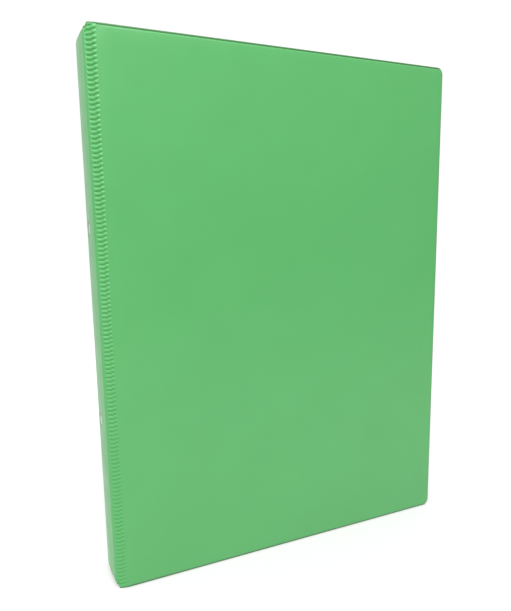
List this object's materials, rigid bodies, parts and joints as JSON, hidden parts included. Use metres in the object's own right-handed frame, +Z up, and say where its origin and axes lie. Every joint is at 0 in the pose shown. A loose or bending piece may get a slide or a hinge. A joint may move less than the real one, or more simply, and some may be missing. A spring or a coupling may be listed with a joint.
{
  "type": "stamp album",
  "caption": "Green welded PVC loose-leaf stamp album with ribbed hinge strips, a riveted two-ring mechanism and pocket leaves.",
  "frame": {"origin": "middle of the closed album's bounding box at its bottom face, where it stands on the lower edges of its covers and spine", "axes": "+X from the spine to the fore edge, +Y from the front cover to the back cover, +Z up the album's height"},
  "size_m": [0.236, 0.035, 0.315],
  "materials": {
    "cover_pvc": "glossy grass green PVC",
    "lining_pvc": "satin grass green PVC",
    "greyboard": "raw greyboard",
    "ring_steel": "bright nickel plate",
    "rivet_steel": "bright nickel plate",
    "leaf_card": "matt black card",
    "clear_film": "clear film"
  },
  "bodies": {
    "spine": {"spine_outer_skin": "cover_pvc", "spine_board": "greyboard", "spine_lining": "lining_pvc", "ring_housing": "ring_steel", "upper_rivet": "rivet_steel", "lower_rivet": "rivet_steel"},
    "front_hinge": {"front_hinge_strip": "cover_pvc"},
    "front_cover": {"front_outer_skin": "cover_pvc", "front_board": "greyboard", "front_lining": "lining_pvc"},
    "back_hinge": {"back_hinge_strip": "cover_pvc"},
    "back_cover": {"back_outer_skin": "cover_pvc", "back_board": "greyboard", "back_lining": "lining_pvc"},
    "ring_front": {"front_blade": "ring_steel", "upper_ring_front": "ring_steel", "lower_ring_front": "ring_steel"},
    "ring_back": {"back_blade": "ring_steel", "upper_ring_back": "ring_steel", "lower_ring_back": "ring_steel"},
    "leaf_1": {"leaf_1_card": "leaf_card", "leaf_1_front_strips": "clear_film", "leaf_1_back_strips": "clear_film"},
    "leaf_2": {"leaf_2_card": "leaf_card", "leaf_2_front_strips": "clear_film", "leaf_2_back_strips": "clear_film"},
    "leaf_3": {"leaf_3_card": "leaf_card", "leaf_3_front_strips": "clear_film", "leaf_3_back_strips": "clear_film"},
    "leaf_4": {"leaf_4_card": "leaf_card", "leaf_4_front_strips": "clear_film", "leaf_4_back_strips": "clear_film"},
    "leaf_5": {"leaf_5_card": "leaf_card", "leaf_5_front_strips": "clear_film", "leaf_5_back_strips": "clear_film"},
    "leaf_6": {"leaf_6_card": "leaf_card", "leaf_6_front_strips": "clear_film", "leaf_6_back_strips": "clear_film"},
    "leaf_7": {"leaf_7_card": "leaf_card", "leaf_7_front_strips": "clear_film", "leaf_7_back_strips": "clear_film"},
    "leaf_8": {"leaf_8_card": "leaf_card", "leaf_8_front_strips": "clear_film", "leaf_8_back_strips": "clear_film"}
  },
  "joints": [
    {"name": "front_hinge_fold", "type": "hinge", "parent": "spine", "child": "front_hinge", "pos_m": [-0.11588, -0.01506, 0.1575], "axis": [0, 0, -1], "range_deg": [0, 90]},
    {"name": "front_cover_fold", "type": "hinge", "parent": "front_hinge", "child": "front_cover", "pos_m": [-0.1104, -0.0175, 0.1575], "axis": [0, 0, -1], "range_deg": [0, 90]},
    {"name": "back_hinge_fold", "type": "hinge", "parent": "spine", "child": "back_hinge", "pos_m": [-0.11588, 0.01506, 0.1575], "axis": [0, 0, 1], "range_deg": [0, 90]},
    {"name": "back_cover_fold", "type": "hinge", "parent": "back_hinge", "child": "back_cover", "pos_m": [-0.1104, 0.0175, 0.1575], "axis": [0, 0, 1], "range_deg": [0, 90]},
    {"name": "ring_front_open", "type": "hinge", "parent": "spine", "child": "ring_front", "pos_m": [-0.11275, -0.0075, 0.1557], "axis": [0, 0, -1], "range_deg": [0, 10]},
    {"name": "ring_back_open", "type": "hinge", "parent": "spine", "child": "ring_back", "pos_m": [-0.11275, 0.0075, 0.1557], "axis": [0, 0, 1], "range_deg": [0, 10]},
    {"name": "leaf_1_turn", "type": "hinge", "parent": "spine", "child": "leaf_1", "pos_m": [-0.1049, 0, 0.1557], "axis": [0, 0, -1], "range_deg": [0, 54]},
    {"name": "leaf_2_turn", "type": "hinge", "parent": "spine", "child": "leaf_2", "pos_m": [-0.1049, 0, 0.1557], "axis": [0, 0, -1], "range_deg": [0, 45]},
    {"name": "leaf_3_turn", "type": "hinge", "parent": "spine", "child": "leaf_3", "pos_m": [-0.1049, 0, 0.1557], "axis": [0, 0, -1], "range_deg": [0, 34.2]},
    {"name": "leaf_4_turn", "type": "hinge", "parent": "spine", "child": "leaf_4", "pos_m": [-0.1049, 0, 0.1557], "axis": [0, 0, -1], "range_deg": [0, 22.5]},
    {"name": "leaf_5_turn", "type": "hinge", "parent": "spine", "child": "leaf_5", "pos_m": [-0.1049, 0, 0.1557], "axis": [0, 0, 1], "range_deg": [0, 22.5]},
    {"name": "leaf_6_turn", "type": "hinge", "parent": "spine", "child": "leaf_6", "pos_m": [-0.1049, 0, 0.1557], "axis": [0, 0, 1], "range_deg": [0, 34.2]},
    {"name": "leaf_7_turn", "type": "hinge", "parent": "spine", "child": "leaf_7", "pos_m": [-0.1049, 0, 0.1557], "axis": [0, 0, 1], "range_deg": [0, 45]},
    {"name": "leaf_8_turn", "type": "hinge", "parent": "spine", "child": "leaf_8", "pos_m": [-0.1049, 0, 0.1557], "axis": [0, 0, 1], "range_deg": [0, 54]}
  ],
  "couplings": [
    {"joint": "ring_back_open", "follows": "ring_front_open", "ratio": 1},
    {"joint": "leaf_1_turn", "follows": "front_hinge_fold", "ratio": 0.6},
    {"joint": "leaf_2_turn", "follows": "front_hinge_fold", "ratio": 0.5},
    {"joint": "leaf_3_turn", "follows": "front_hinge_fold", "ratio": 0.38},
    {"joint": "leaf_4_turn", "follows": "front_hinge_fold", "ratio": 0.25},
    {"joint": "leaf_5_turn", "follows": "back_hinge_fold", "ratio": 0.25},
    {"joint": "leaf_6_turn", "follows": "back_hinge_fold", "ratio": 0.38},
    {"joint": "leaf_7_turn", "follows": "back_hinge_fold", "ratio": 0.5},
    {"joint": "leaf_8_turn", "follows": "back_hinge_fold", "ratio": 0.6}
  ]
}
